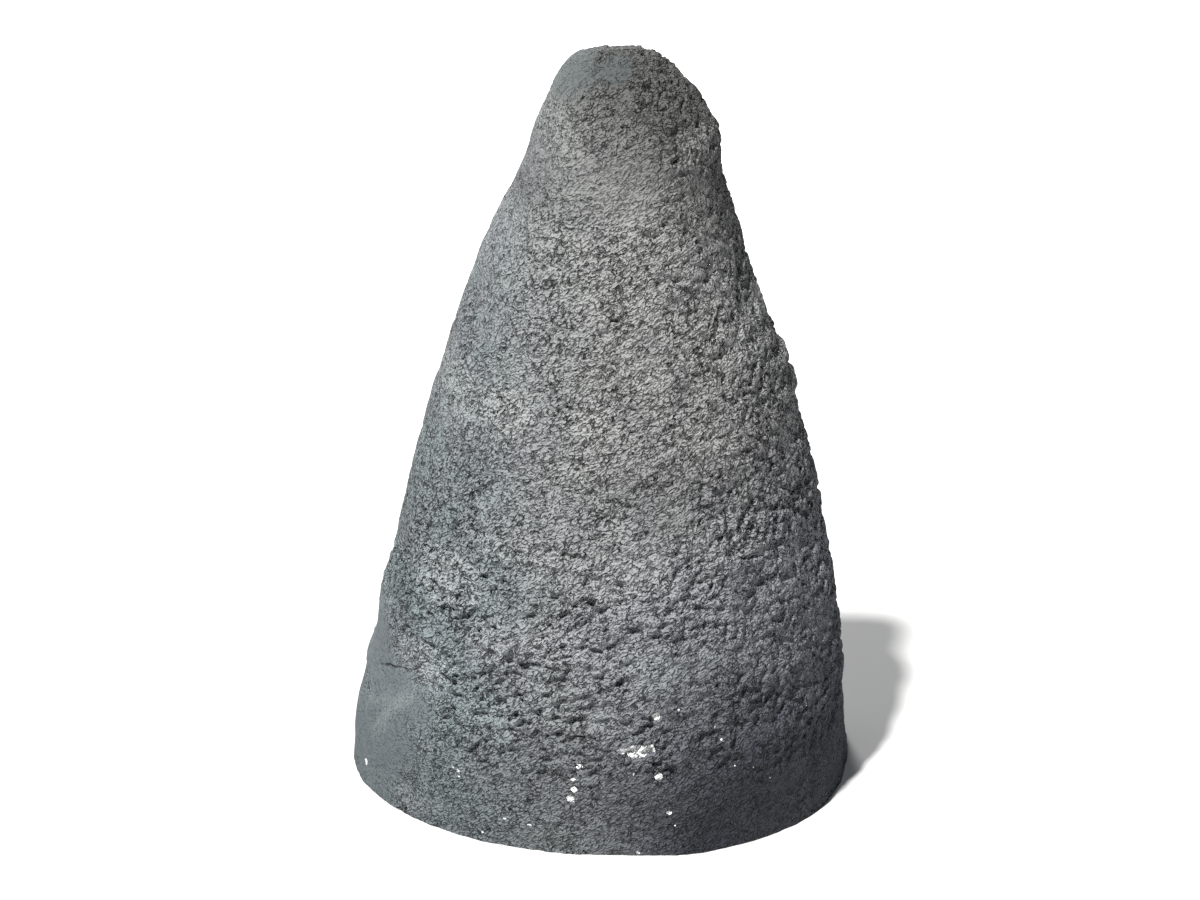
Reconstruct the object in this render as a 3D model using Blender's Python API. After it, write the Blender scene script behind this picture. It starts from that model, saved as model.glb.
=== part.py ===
"""Amethyst cluster: an upright piece of a geode, sawn off flat so that it stands.

Three pieces, +Z up, with the origin on the floor under the middle:
  cement_coat     the dark cement skin trowelled over the back, the sides and the head
  geode_wall      the rock and agate under that skin, which shows as the sawn front rim
  amethyst_crust  the crystals that line the hollow in the front
The coated back faces -Y, and the crystals face +Y. Dimensions are in millimetres, and
each mesh is turned into metres when its object is made.
"""

import functools
import math
import random

import bmesh
import bpy
from mathutils import Matrix, Vector, noise

MM = 0.001

# ---- outer form ---------------------------------------------------------------------------

# Rings from the sawn base to the top of the head: height, how far the left and the right
# side reach, how far the back reaches, and the x of its rearmost point.
RINGS = [
    (0, -102, 102, -57, 15),
    (28, -98, 99, -58, 15),
    (62, -90, 96, -54, 13),
    (100, -81, 91, -47, 11),
    (140, -71, 81, -39, 9),
    (180, -59, 69, -30, 8),
    (215, -46, 56, -22, 8),
    (245, -32, 47, -16, 9),
    (266, -25, 43, -11, 9),
    (283, -17, 31, -1, 9),
    (293, -9, 21, 12, 8),
    (297, 3, 12, 21, 8),
]
TOP = RINGS[-1][0]
WIDEST_Y_BASE = 40  # depth of the widest line at the base, and at the head
WIDEST_Y_HEAD = 23
FRONT_ROUND = 44  # how far the form would bulge in front of that line if it weren't sawn
BACK_POWER = 2.12  # 2 is an ellipse in plan, and more is squarer
FRONT_POWER = 2.8

FRONT_Y = 58  # the sawn front face, at the base
FRONT_LEAN = 0.095  # how far it leans back for each millimetre of height
COAT = 5.0
COAT_SETBACK = 1.2  # the cement ends this far behind the polished rim
COAT_LAST_RING = 10.85  # the form closes to a point above there, on the outside
ROCK_LAST_RING = 9.6  # and above there on the rock, which is narrower
GAP = 0.3  # clearance between pieces that touch

# ---- hollow and crystals ------------------------------------------------------------------

HOLLOW_MIDDLE = Vector((2, 112))  # x and height of its deepest place
HOLLOW_DEPTH = 42
HOLLOW_STRETCH = 1.7  # about how many times higher than wide it is
HOLLOW_POWER = 2.6  # its depth from middle to rim: 2 is an ellipse, and more is fuller
SIDE_RIM = 12  # least width of the rim, cement included
FOOT_RIM = 15
HEAD_RIM = 26  # from the hollow's highest place to the top of the head
RIM_WAVE = 7  # how far the hollow's edge wanders inwards from there
QUARTZ_BED = 4.5  # thickness of the quartz that the crystals stand on
CRUST_SETBACK = 0.6  # the crust is sawn this far behind the polished rim
FACE_SLOPE = math.radians(51.8)  # a quartz point's end faces, from square across
CRYSTAL_WIDTH = (8.2, 14.5)  # largest half width, beside the rim and in the middle
CRYSTAL_SMALLEST = 0.6  # of the largest, for those that fill the gaps
CRYSTAL_REACH = 0.98  # how near the rim crystals stand, as a share of the way to it
CRYSTAL_SPACING = 0.82  # of two neighbours' half widths: under 1, they crowd one another
CRYSTAL_LEAN = 0.22  # how far a crystal may lean from square to the bed
CRYSTAL_ROOT = 2.7  # how deep in the bed a crystal starts
CRYSTAL_SIDES = (0.1, 0.55)  # how much of its prism shows, in half widths
END_FACE_SETBACK = 0.16  # of every other end face, in half widths: they come out smaller
END_FACE_JITTER = 0.06
CRYSTAL_TRIES = 9000
CRYSTAL_SEED = 11

# ---- surface of the cement ----------------------------------------------------------------

LUMPS = [(31, 1.4), (14, 1.5)]  # how far apart they are, and how far they stand out
CREASE_BAND = (52, 26)  # height and half height of the creases above the foot
CREASE_SPACING = 20
CREASE_DEPTH = 0.9
TROWELLED = [(Vector((-84, 3, 36)), 24), (Vector((-8, 9, 288)), 17)]  # middle and radius
TROWELLED_DENT = 1.4


def blend(low, high, value):
    """0 below low, 1 above high, and a smooth step between them."""
    share = min(1.0, max(0.0, (value - low) / (high - low)))
    return share * share * (3 - 2 * share)


def ring_at(place):
    """The outer form's ring at place, a ring's number with a fraction between rings."""
    last = len(RINGS) - 1
    i = min(int(place), last - 1)
    u = place - i
    before = RINGS[max(i - 1, 0)]
    after = RINGS[min(i + 2, last)]
    ring = []
    for p0, p1, p2, p3 in zip(before, RINGS[i], RINGS[i + 1], after):
        slope_in, slope_out = (p2 - p0) / 2, (p3 - p1) / 2
        bend = 3 * (p2 - p1) - 2 * slope_in - slope_out
        twist = 2 * (p1 - p2) + slope_in + slope_out
        ring.append(p1 + u * (slope_in + u * (bend + u * twist)))
    return ring


@functools.lru_cache(maxsize=None)
def ring_at_millimetre(height):
    """The outer form's ring at a whole number of millimetres."""
    low, high = 0.0, len(RINGS) - 1.0
    for _ in range(16):
        middle = (low + high) / 2
        if ring_at(middle)[0] < height:
            low = middle
        else:
            high = middle
    return Vector(ring_at(low))


def ring_at_height(height):
    """The outer form's ring at any height."""
    below = min(max(math.floor(height), 0), TOP - 1)
    ring = ring_at_millimetre(below)
    return ring.lerp(ring_at_millimetre(below + 1), height - below)


def front_y(height):
    """How far forward the sawn face is at a height."""
    return FRONT_Y - FRONT_LEAN * height


def depth_of_widest_line(height):
    return WIDEST_Y_BASE + (WIDEST_Y_HEAD - WIDEST_Y_BASE) * height / TOP


def front_half_depth(height, back):
    """How far the form would bulge in front of its widest line, where its back is at back."""
    share = (depth_of_widest_line(height) - back) / (WIDEST_Y_BASE - RINGS[0][3])
    return FRONT_ROUND * share


def front_edges(height):
    """The x of the sawn face's left and right edges at a height."""
    _, left, right, back, rear_x = ring_at_height(height)
    ahead = front_y(height) - depth_of_widest_line(height)
    share = min(ahead / front_half_depth(height, back), 1.0)
    narrowing = (1 - share**FRONT_POWER) ** (1 / FRONT_POWER)
    return rear_x + (left - rear_x) * narrowing, rear_x + (right - rear_x) * narrowing


def form_point(place, angle, inset):
    """A point of the outer form, moved inwards by inset. Angle 0 is +X, and 90 is +Y."""
    height, left, right, back, rear_x = ring_at(place)
    widest_y = depth_of_widest_line(height)
    across, along = math.cos(angle), math.sin(angle)
    half_width = right - rear_x if across > 0 else rear_x - left
    if along < 0:
        half_depth, power = widest_y - back, BACK_POWER
    else:
        half_depth, power = front_half_depth(height, back), FRONT_POWER
    x = max(half_width - inset, 0.5) * abs(across) ** (2 / power)
    y = max(half_depth - inset, 0.5) * abs(along) ** (2 / power)
    return Vector(
        (
            rear_x + math.copysign(x, across),
            widest_y + math.copysign(y, along),
            height - inset * blend(0.55, 1.0, height / TOP),
        )
    )


def join_loops(solid, first, second):
    """Joins two loops of as many points with a band of triangles. All are split the same
    way, so that two such surfaces, one inside the other, stay clear of each other."""
    count = len(first)
    for k in range(count):
        after = (k + 1) % count
        solid.faces.new((first[k], first[after], second[after]))
        solid.faces.new((first[k], second[after], second[k]))


def lofted_form(around, rows, last_place, inset=0.0, foot=0.0):
    """The closed outer form as a bmesh, moved inwards by inset. A foot below zero carries
    its lowest ring straight down to there."""
    form = bmesh.new()
    angles = [2 * math.pi * k / around for k in range(around)]
    rows_of_points = []
    for row in range(rows + 1):
        place = last_place * row / rows
        rows_of_points.append([form_point(place, angle, inset) for angle in angles])
    if foot < 0:
        lowest = [Vector((p.x, p.y, foot)) for p in rows_of_points[0]]
        rows_of_points.insert(0, lowest)
    rings = [[form.verts.new(p) for p in points] for points in rows_of_points]
    peak = ring_at(len(RINGS) - 1)
    top = form.verts.new((peak[4], peak[3] + 1, TOP - inset))
    for lower, upper in zip(rings, rings[1:]):
        join_loops(form, lower, upper)
    for k in range(around):
        form.faces.new((rings[-1][k], rings[-1][(k + 1) % around], top))
    form.faces.new(rings[0][::-1])
    form.normal_update()
    return form


def rock_form(inset, foot=0.0):
    return lofted_form(28, 10, ROCK_LAST_RING, inset, foot)


def saw_off(solid, point, normal):
    """Cuts away what lies beyond a plane, and closes the cut flat."""
    parts = solid.verts[:] + solid.edges[:] + solid.faces[:]
    cut = bmesh.ops.bisect_plane(
        solid, geom=parts, plane_co=point, plane_no=normal, clear_outer=True
    )
    rim = [item for item in cut["geom_cut"] if isinstance(item, bmesh.types.BMEdge)]
    if rim:
        bmesh.ops.edgeloop_fill(solid, edges=rim)


def saw_front(solid, setback=0.0):
    """Saws a solid off along the leaning front face, or setback behind it."""
    normal = Vector((0, 1, FRONT_LEAN)).normalized()
    saw_off(solid, Vector((0, FRONT_Y, 0)) - normal * setback, normal)


def cement_relief(point):
    """How far the cement stands out at a point: lumps, creases and trowelled places."""
    relief = sum(height * noise.noise(point / apart) for apart, height in LUMPS)
    middle, half = CREASE_BAND
    in_band = max(0.0, 1 - ((point.z - middle) / half) ** 2)
    wander = noise.noise(point / LUMPS[0][0])
    crease = math.sin(2 * math.pi * point.z / CREASE_SPACING + math.pi * wander)
    relief += CREASE_DEPTH * in_band * crease
    for centre, radius in TROWELLED:
        away = (point - centre).length / radius
        relief = relief * blend(0.55, 1.15, away) - TROWELLED_DENT * max(0.0, 1 - away)
    return relief


def roughen(form):
    """Gives the outer form the cement's relief, and keeps its base flat."""
    moves = [vert.normal * cement_relief(vert.co) for vert in form.verts]
    for vert, move in zip(form.verts, moves):
        if vert.co.z < 0.01:
            move.z = 0
        vert.co += move


@functools.lru_cache(maxsize=None)
def hollow_reach_at_degree(degree):
    """How far the hollow's outline is from its middle, at a whole number of degrees."""
    across, up = math.cos(math.radians(degree)), math.sin(math.radians(degree))

    def rim_left(reach):
        x, height = HOLLOW_MIDDLE.x + reach * across, HOLLOW_MIDDLE.y + reach * up
        if height < FOOT_RIM or height > TOP - HEAD_RIM:
            return False
        left, right = front_edges(height)
        to_left, to_right = x - left, right - x
        if min(to_left, to_right) < SIDE_RIM:
            return False
        sides = (SIDE_RIM / to_left) ** 2 + (SIDE_RIM / to_right) ** 2
        return sides + (FOOT_RIM / height) ** 2 < 1

    low, high = 0.0, float(TOP)
    for _ in range(16):
        middle = (low + high) / 2
        if rim_left(middle):
            low = middle
        else:
            high = middle
    wander = noise.noise(Vector((2.2 * across, 2.2 * up, 4.0)))
    return low - RIM_WAVE * (0.5 + wander)


def hollow_reach(angle):
    """The hollow's outline: how far it is from its middle, in a direction on the front."""
    degrees = math.degrees(angle) % 360
    below = math.floor(degrees)
    near, far = hollow_reach_at_degree(below), hollow_reach_at_degree((below + 1) % 360)
    return near + (far - near) * (degrees - below)


def hollow_point(angle, share, inset):
    """A point of the hollow's wall. Share is 0 in its middle and 1 at its rim."""
    share = max(share, 0.0)
    reach = (hollow_reach(angle) - inset) * share
    x = HOLLOW_MIDDLE.x + reach * math.cos(angle)
    height = HOLLOW_MIDDLE.y + reach * math.sin(angle)
    back = ring_at_height(height)[3]
    full = front_y(HOLLOW_MIDDLE.y) - ring_at_height(HOLLOW_MIDDLE.y)[3]
    room = (front_y(height) - back) / full
    depth = (HOLLOW_DEPTH * room - inset) * math.sqrt(1 - share**HOLLOW_POWER)
    return Vector((x, front_y(height) - depth, height))


def add_bowl(solid, inset, proud, around=30, steps=6):
    """Adds the hollow's wall, moved inwards by inset, to a bmesh as a sheet. It starts with
    a ring that stands proud of the front face, which is returned."""
    turns = [2 * math.pi * k / around for k in range(around)]
    angles = [math.atan2(HOLLOW_STRETCH * math.sin(t), math.cos(t)) for t in turns]
    rim = [hollow_point(angle, 1.0, inset) for angle in angles]
    rings = [[point + Vector((0, proud, 0)) for point in rim], rim]
    for step in range(1, steps):
        share = math.sin(math.pi / 2 * (1 - step / steps))
        rings.append([hollow_point(angle, share, inset) for angle in angles])
    loops = [[solid.verts.new(point) for point in ring] for ring in rings]
    for outer, inner in zip(loops, loops[1:]):
        join_loops(solid, outer, inner)
    deepest = solid.verts.new(hollow_point(0.0, 0.0, inset))
    for k in range(around):
        solid.faces.new((loops[-1][k], loops[-1][(k + 1) % around], deepest))
    return loops[0]


def hollow_solid(inset, proud):
    """A closed solid that fills the hollow, and stands proud of the front face."""
    solid = bmesh.new()
    solid.faces.new(add_bowl(solid, inset, proud))
    bmesh.ops.recalc_face_normals(solid, faces=solid.faces)
    return solid


def quartz_bed():
    """The quartz that the crystals stand on. It is thicker behind and in front than it ends
    up, and is cut to the hollow with the crystals."""
    solid = bmesh.new()
    behind = add_bowl(solid, inset=-2.0, proud=5)
    face = add_bowl(solid, inset=GAP + QUARTZ_BED, proud=5)
    join_loops(solid, behind, face)
    bmesh.ops.recalc_face_normals(solid, faces=solid.faces)
    return solid


def crystal(half_width, shoulder, chance):
    """A quartz point along +Z: a six-sided prism with three broad end faces and three
    narrow ones. Its sides end about shoulder above zero, where the bed's face is."""
    point = bmesh.new()
    peak = shoulder + half_width * math.tan(FACE_SLOPE)
    length = CRYSTAL_ROOT + peak + half_width
    bmesh.ops.create_cone(
        point,
        cap_ends=True,
        segments=6,
        radius1=half_width / math.cos(math.pi / 6),
        radius2=half_width / math.cos(math.pi / 6),
        depth=length,
        matrix=Matrix.Translation((0, 0, length / 2 - CRYSTAL_ROOT)),
    )
    for k in range(6):
        away = math.radians(30 + 60 * k)
        tilt = Vector((math.cos(away), math.sin(away), 0)) * math.sin(FACE_SLOPE)
        normal = tilt + Vector((0, 0, math.cos(FACE_SLOPE)))
        out = chance.uniform(-END_FACE_JITTER, END_FACE_JITTER)
        if k % 2:
            out += END_FACE_SETBACK
        saw_off(point, Vector((0, 0, peak)) + normal * out * half_width, normal)
    return point


def bed_normal(angle, share):
    """The direction square to the bed at a place, out of the hollow."""
    inset = GAP + QUARTZ_BED
    step = 0.02
    inwards = hollow_point(angle, share, inset) - hollow_point(angle, share + step, inset)
    across = hollow_point(angle + step, share, inset) - hollow_point(
        angle - step, share, inset
    )
    normal = inwards.cross(across).normalized()
    return normal if normal.y > 0 else -normal


def crystal_places(chance):
    """Where crystals stand: place, direction and half width of each. They crowd one
    another, the largest in the middle of the hollow, and smaller ones fill the gaps."""
    inset = GAP + QUARTZ_BED
    chosen = []
    for attempt in range(CRYSTAL_TRIES):
        angle = chance.uniform(0, 2 * math.pi)
        share = math.sqrt(chance.random()) * CRYSTAL_REACH
        size = CRYSTAL_WIDTH[0] + (CRYSTAL_WIDTH[1] - CRYSTAL_WIDTH[0]) * (1 - share**3)
        half_width = size * (1 - (1 - CRYSTAL_SMALLEST) * attempt / CRYSTAL_TRIES)
        place = hollow_point(angle, share, inset)
        if any(
            (place - other).length < CRYSTAL_SPACING * (half_width + its_half_width)
            for other, _, its_half_width in chosen
        ):
            continue
        lean = Vector([chance.uniform(-CRYSTAL_LEAN, CRYSTAL_LEAN) for _ in range(3)])
        direction = (bed_normal(angle, share) + lean).normalized()
        chosen.append((place, direction, half_width))
    return chosen


def crystal_cluster():
    """Every crystal of the crust in one bmesh, each still a closed solid of its own."""
    chance = random.Random(CRYSTAL_SEED)
    cluster = bmesh.new()
    for place, direction, half_width in crystal_places(chance):
        shoulder = half_width * chance.uniform(*CRYSTAL_SIDES)
        point = crystal(half_width, shoulder, chance)
        turn = direction.to_track_quat("Z", "X").to_matrix().to_4x4()
        spin = Matrix.Rotation(chance.uniform(0, math.pi), 4, "Z")
        point.transform(Matrix.Translation(place) @ turn @ spin)
        loose = bpy.data.meshes.new("crystal")
        point.to_mesh(loose)
        point.free()
        cluster.from_mesh(loose)
        bpy.data.meshes.remove(loose)
    return cluster


def material(name, colour, roughness, transmission=0.0):
    made = bpy.data.materials.new(name)
    made.use_nodes = True
    shader = made.node_tree.nodes["Principled BSDF"]
    shader.inputs["Base Color"].default_value = (*colour, 1)
    shader.inputs["Roughness"].default_value = roughness
    shader.inputs["Metallic"].default_value = 0.0
    shader.inputs["Transmission Weight"].default_value = transmission
    made.diffuse_color = (*colour, 1)
    return made


def make_object(name, solid, finish=None):
    """Puts a solid in millimetres into the scene as a named object in metres."""
    bmesh.ops.recalc_face_normals(solid, faces=solid.faces)
    solid.transform(Matrix.Scale(MM, 4))
    mesh = bpy.data.meshes.new(name)
    solid.to_mesh(mesh)
    solid.free()
    made = bpy.data.objects.new(name, mesh)
    bpy.context.scene.collection.objects.link(made)
    if finish:
        mesh.materials.append(finish)
    return made


def make_helper(name, solid):
    """A solid that only shapes others, and isn't part of the object."""
    helper = make_object(name, solid)
    helper.hide_render = True
    helper.display_type = "WIRE"
    return helper


def add_boolean(target, operation, other, crosses_itself=False):
    modifier = target.modifiers.new(operation.lower(), "BOOLEAN")
    modifier.operation = operation
    modifier.solver = "EXACT"
    modifier.use_self = crosses_itself
    modifier.object = other


def shells(solid):
    """The separate closed surfaces of a bmesh, each as a list of its points."""
    left = set(solid.verts)
    found = []
    for start in solid.verts:
        if start not in left:
            continue
        left.remove(start)
        shell = [start]
        for vert in shell:
            for edge in vert.link_edges:
                other = edge.other_vert(vert)
                if other in left:
                    left.remove(other)
                    shell.append(other)
        found.append(shell)
    return found


def keep_largest_shell(target):
    """Applies an object's modifiers, and drops the loose chips and sealed gaps they left."""
    solid = bmesh.new()
    solid.from_object(target, bpy.context.evaluated_depsgraph_get())
    largest = max(shells(solid), key=len)
    spare = set(solid.verts).difference(largest)
    bmesh.ops.delete(solid, geom=list(spare), context="VERTS")
    target.modifiers.clear()
    solid.to_mesh(target.data)
    solid.free()


def make_coat():
    outside = lofted_form(around=54, rows=36, last_place=COAT_LAST_RING)
    roughen(outside)
    saw_front(outside, COAT_SETBACK)
    finish = material("dark_cement", (0.16, 0.165, 0.17), 0.9)
    coat = make_object("cement_coat", outside, finish)
    core = rock_form(inset=COAT, foot=-10)
    add_boolean(coat, "DIFFERENCE", make_helper("coat_core", core))


def make_wall():
    rock = rock_form(inset=COAT + GAP)
    saw_front(rock)
    wall = make_object("geode_wall", rock, material("agate", (0.5, 0.52, 0.53), 0.35))
    hollow = make_helper("hollow_cutter", hollow_solid(inset=0.0, proud=15))
    add_boolean(wall, "DIFFERENCE", hollow)


def make_crust():
    finish = material("amethyst", (0.3, 0.12, 0.5), 0.08, transmission=0.6)
    crust = make_object("amethyst_crust", quartz_bed(), finish)
    crystals = make_helper("crystals", crystal_cluster())
    add_boolean(crust, "UNION", crystals, crosses_itself=True)
    room = hollow_solid(inset=GAP, proud=15)
    saw_front(room, CRUST_SETBACK)
    add_boolean(crust, "INTERSECT", make_helper("crust_room", room), crosses_itself=True)
    keep_largest_shell(crust)


def build():
    for old in list(bpy.data.objects):
        bpy.data.objects.remove(old)
    make_coat()
    make_wall()
    make_crust()


build()
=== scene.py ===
"""The looks of a standing amethyst cluster: a cut geode cone, its back and sides coated with dark
cement, and crystals in its hollow. Metres, +Z up, with the back towards -Y.
"""

import math
import random

import bmesh
import bpy
import numpy as np
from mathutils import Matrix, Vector, noise
from mathutils.bvhtree import BVHTree


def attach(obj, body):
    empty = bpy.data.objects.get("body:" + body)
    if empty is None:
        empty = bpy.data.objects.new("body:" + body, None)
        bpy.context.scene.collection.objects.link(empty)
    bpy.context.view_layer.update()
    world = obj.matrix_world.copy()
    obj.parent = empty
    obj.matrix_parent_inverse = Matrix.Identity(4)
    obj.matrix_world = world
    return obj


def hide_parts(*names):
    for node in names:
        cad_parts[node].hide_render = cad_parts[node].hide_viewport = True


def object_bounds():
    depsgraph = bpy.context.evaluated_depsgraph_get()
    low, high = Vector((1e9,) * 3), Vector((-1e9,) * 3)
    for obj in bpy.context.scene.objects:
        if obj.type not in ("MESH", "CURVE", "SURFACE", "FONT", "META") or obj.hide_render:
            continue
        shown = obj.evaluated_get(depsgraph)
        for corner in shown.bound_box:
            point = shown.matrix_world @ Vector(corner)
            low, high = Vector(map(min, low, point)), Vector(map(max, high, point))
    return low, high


MM = 0.001
DOWN = Vector((0, 0, -1))

# The sawn front face of the solids: a plane that leans back.
FRONT_Y = 58 * MM
FRONT_LEAN = 0.095  # how far back for each step up
FRONT_NORMAL = Vector((0, 1, FRONT_LEAN)).normalized()
COAT_SETBACK = 1.2 * MM  # the cement and the crust end this far behind that face
CRUST_SETBACK = 0.6 * MM
HOLLOW_MIDDLE = np.array([2.0, 112.0])  # x and height in millimetres
HOLLOW_STRETCH = 1.7  # about how many times higher than wide it is

# Camera and lights
CAMERA_PLACE = Vector((0, -1027.9, 539.2)) * MM
CAMERA_TARGET = Vector((0, -1, 145)) * MM
CAMERA_LENS = 86.3
SENSOR_WIDE = 36
FRAME_WIDE, FRAME_HIGH = 1200, 900  # the frame that the marks below are placed in
KEY_PLACE = Vector((-0.75, -1.0, 2.2))
CRYSTAL_LIGHT_PLACE = Vector((-0.25, 1.7, 1.15))
LIGHT_AIM = Vector((0, 0, 0.13))
DAY_STRENGTH, DAY_SPREAD, SKY_STRENGTH = 8, math.radians(4), 0.25
CRYSTAL_LIGHT_SIZE, CRYSTAL_LIGHT_WATTS = 0.5, 34
FLOOR_SIZE = 200
QUARTZ_IOR = 1.544

# Mesh sizes
CEMENT_GRAIN = 0.86 * MM
WALL_GRAIN = 1.4 * MM
FINEST = 1e-6  # points nearer than this are one
SPARE = 6 * MM  # how far a piece is carried past its cuts
MOST_CEMENT_FACES = 214000  # before its foot and front are sawn off
CEMENT_KEPT, WALL_KEPT = 0.03, 0.05  # the shares of their unseen faces that are kept
ALIGNED = 0.995  # the cosine from which a face counts as looking in a direction

# Limits, in millimetres
INSIDE_THE_BOX = 0.1  # how far inside the solids' box the cement stays
LAID_FLAT = 0.75  # the wall is laid flat on a sawn face from as near as this
AGAINST_THE_WALL = 2.2  # cement as near the wall as this is never seen
BEHIND_THE_FRONT = 4  # wall as far behind the front as this is never seen
BACK_ENDS, LUMPS_END, CREST_ENDS = 45, 40, 20  # how far forward the back's marks go

# The hollow's edge, in millimetres: how near the hollow and the front its points lie, how far in
# they are moved, how much that wanders, how far out they may be evened, and over what distances
# from the hollow and behind the front the wall follows them less and less
RIM_NEAR, RIM_FLAT = 1.2, 0.8
RIM_INWARDS, RIM_WANDER, RIM_MOST_OUT = 0.9, 0.8, 0.1
RIM_FOLLOWS_ACROSS, RIM_FOLLOWS_BEHIND = (0.6, 7.0), (6, 16)
RIM_STEPS, BLUR_STEPS, BLUR_WIDTH = 180, 18, 7.0  # steps round it

# The cement's relief: how far its forms and marks stand out or go in, in millimetres
CRAG_RISE, LUMP_RISE, CURL_DEPTH, LEDGE_RISE, WORM_RISE, SAND_RISE = 1.1, 1.1, 1.0, 0.8, 1.5, 0.2
SWELL_RISE, CREST_RISE, CROWN_RISE = 0.45, 1.0, 0.9
CREASE_DEPTH, SCRATCH_DEPTH, PIT_DEPTH, CHIP_DEPTH, CRACK_DEPTH = 1.1, 0.5, 1.4, 0.4, 0.5

# Small points on the bed as (smallest and largest width, spacing, lowest and highest place above
# the wall, tries)
SMALL_POINTS = [
    (5.0, 8.5, 0.42, 3.2, 7.5, 2500),
    (2.6, 5.0, 0.42, 3.0, 9.0, 7000),
    (1.6, 2.8, 0.45, 3.0, 9.0, 9000),
]

# Marks in the cement, as (across, down) where the camera sees them in its frame.
# Chips as (across, down, width, height)
CHIPS = [
    (636, 752, 21, 14), (624, 751, 13, 5), (648, 750, 13, 8), (651, 747, 5, 4),
    (656, 716, 7, 8), (659, 777, 8, 6), (657, 772, 4, 3), (634, 774, 3, 3),
    (579, 768, 7, 6), (573, 780, 5, 3), (574, 790, 6, 5), (570, 799, 8, 6),
    (452, 767, 3, 3), (457, 771, 3, 4), (458, 777, 2, 3), (450, 773, 2, 2),
    (366, 762, 2, 7), (529, 825, 6, 2), (504, 819, 4, 2), (481, 832, 5, 2),
    (669, 813, 5, 4), (675, 826, 3, 2), (708, 830, 2, 2), (679, 710, 3, 3),
    (715, 727, 2, 2), (722, 740, 2, 2), (735, 766, 2, 2), (754, 768, 2, 2),
    (771, 778, 3, 2), (638, 853, 5, 4),
]
CRACKS = [[(381, 664), (390, 664), (395, 667), (400, 667), (410, 670), (416, 669)]]
CREASES = [
    [(478, 565), (483, 559), (492, 558)],
    [(477, 581), (488, 575), (500, 572)],
    [(450, 598), (465, 600), (481, 599)],
    [(414, 622), (425, 615), (441, 611)],
    [(464, 632), (470, 624), (475, 619), (490, 617)],
    [(503, 523), (505, 513), (513, 511), (519, 520)],
    [(552, 563), (560, 557), (569, 555)],
    [(586, 526), (587, 540)],
    [(442, 504), (447, 501), (452, 514)],
    [(582, 602), (590, 605), (598, 609)],
    [(524, 566), (536, 568), (545, 567), (553, 573)],
    [(456, 682), (462, 691), (470, 684)],
    [(432, 723), (445, 725), (460, 726)],
    [(447, 657), (455, 656), (462, 650)],
    [(487, 694), (500, 690), (519, 704)],
    [(607, 330), (612, 320), (616, 322)],
    [(620, 331), (624, 318), (626, 300)],
    [(670, 282), (690, 284), (712, 280)],
    [(590, 700), (615, 697), (640, 690)],
    [(500, 717), (530, 716), (560, 720)],
]
SCRATCHES = [[(690, 330), (720, 345)]]
SMEARS = [
    [(369, 696), (378, 702), (390, 700), (403, 698), (414, 694)],
    [(375, 731), (384, 718), (395, 706), (411, 697)],
    [(416, 675), (414, 694)],
    [(656, 720), (654, 742)],
]
# Pits as (across, down, radius), and lumps as (across, down, radius, rise), the last in millimetres
PITS = [
    (697, 126, 1.5), (713, 146, 1.6), (674, 162, 1.4), (645, 90, 1.6), (615, 115, 1.3),
    (590, 200, 1.2), (540, 330, 1.4), (505, 390, 1.5),
]
LUMPS = [(784, 355, 5.5, 1.3), (793, 382, 5.5, 1.3), (835, 642, 8.0, 1.2), (508, 651, 2.6, 2.6)]
FRAME_STEP = 0.38  # millimetres across the back for one step of the frame

# Ovals on the back, in millimetres, as (x, height, half width, half height, strength): dark stains that
# are partly painted shade, pale blooms that are partly painted light, and trowelled cement, and the
# crest where two trowelled faces meet on the head
STAINS_AND_PAINTED_SHADE = [
    (20, 133, 13, 13, 0.3), (56, 104, 11, 11, 0.45), (7, 290, 10, 7, 0.3), (56, 221, 10, 22, 0.4),
    (82, 128, 10, 32, 0.3), (-10, 41, 32, 14, 0.3), (46, 18, 33, 18, 0.6), (68, 6, 26, 9, 0.7),
    (30, 142, 40, 14, 0.2), (66, 138, 14, 16, 0.28), (90, 14, 12, 14, 0.4), (72, 22, 22, 13, 0.55),
    (8, 29, 55, 15, 0.24), (-78, 82, 9, 12, 0.25),
]
BLOOMS_AND_PAINTED_LIGHT = [
    (35, 262, 11, 11, 0.3), (-67, 65, 12, 10, 0.32), (-19, 84, 14, 9, 0.3), (-36, 167, 13, 12, 0.3),
    (56, 192, 12, 14, 0.3), (-2, 169, 11, 10, 0.22), (83, 62, 9, 28, 0.3), (-42, 82, 13, 10, 0.25),
    (70, 76, 17, 14, 0.35), (-58, 100, 18, 16, 0.35), (-30, 118, 22, 10, 0.2), (-80, 8, 22, 7, 0.25),
    (-54, 170, 12, 16, 0.22),
]
TROWELLED = [
    (-82, 47, 19.5, 15, 1), (-90, 18, 14, 25, 1), (-83, 30, 13, 19, 1), (-88, 62, 7, 14, 1),
    (-13, 290, 17, 11, 0.8), (5.5, 289.5, 7, 5, 0.6),
]
HEAD_EDGE = [(-0.5, 295.0), (-2.0, 290.5), (-4.0, 285.0)]


# ---------------------------------------------------------------- tools for any piece


def only(piece):
    """Selects one piece, and nothing else, for the operators."""
    bpy.ops.object.select_all(action="DESELECT")
    piece.select_set(True)
    bpy.context.view_layer.objects.active = piece


def copy_of(node, name):
    """The solid of a node as a piece of its own, with its loose triangles merged."""
    piece = bpy.data.objects.new(name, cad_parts[node].data.copy())
    bpy.context.scene.collection.objects.link(piece)
    piece.data.materials.clear()
    only(piece)
    bpy.ops.object.mode_set(mode="EDIT")
    bpy.ops.mesh.select_all(action="SELECT")
    bpy.ops.mesh.remove_doubles(threshold=FINEST)
    bpy.ops.object.mode_set(mode="OBJECT")
    return piece


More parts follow.
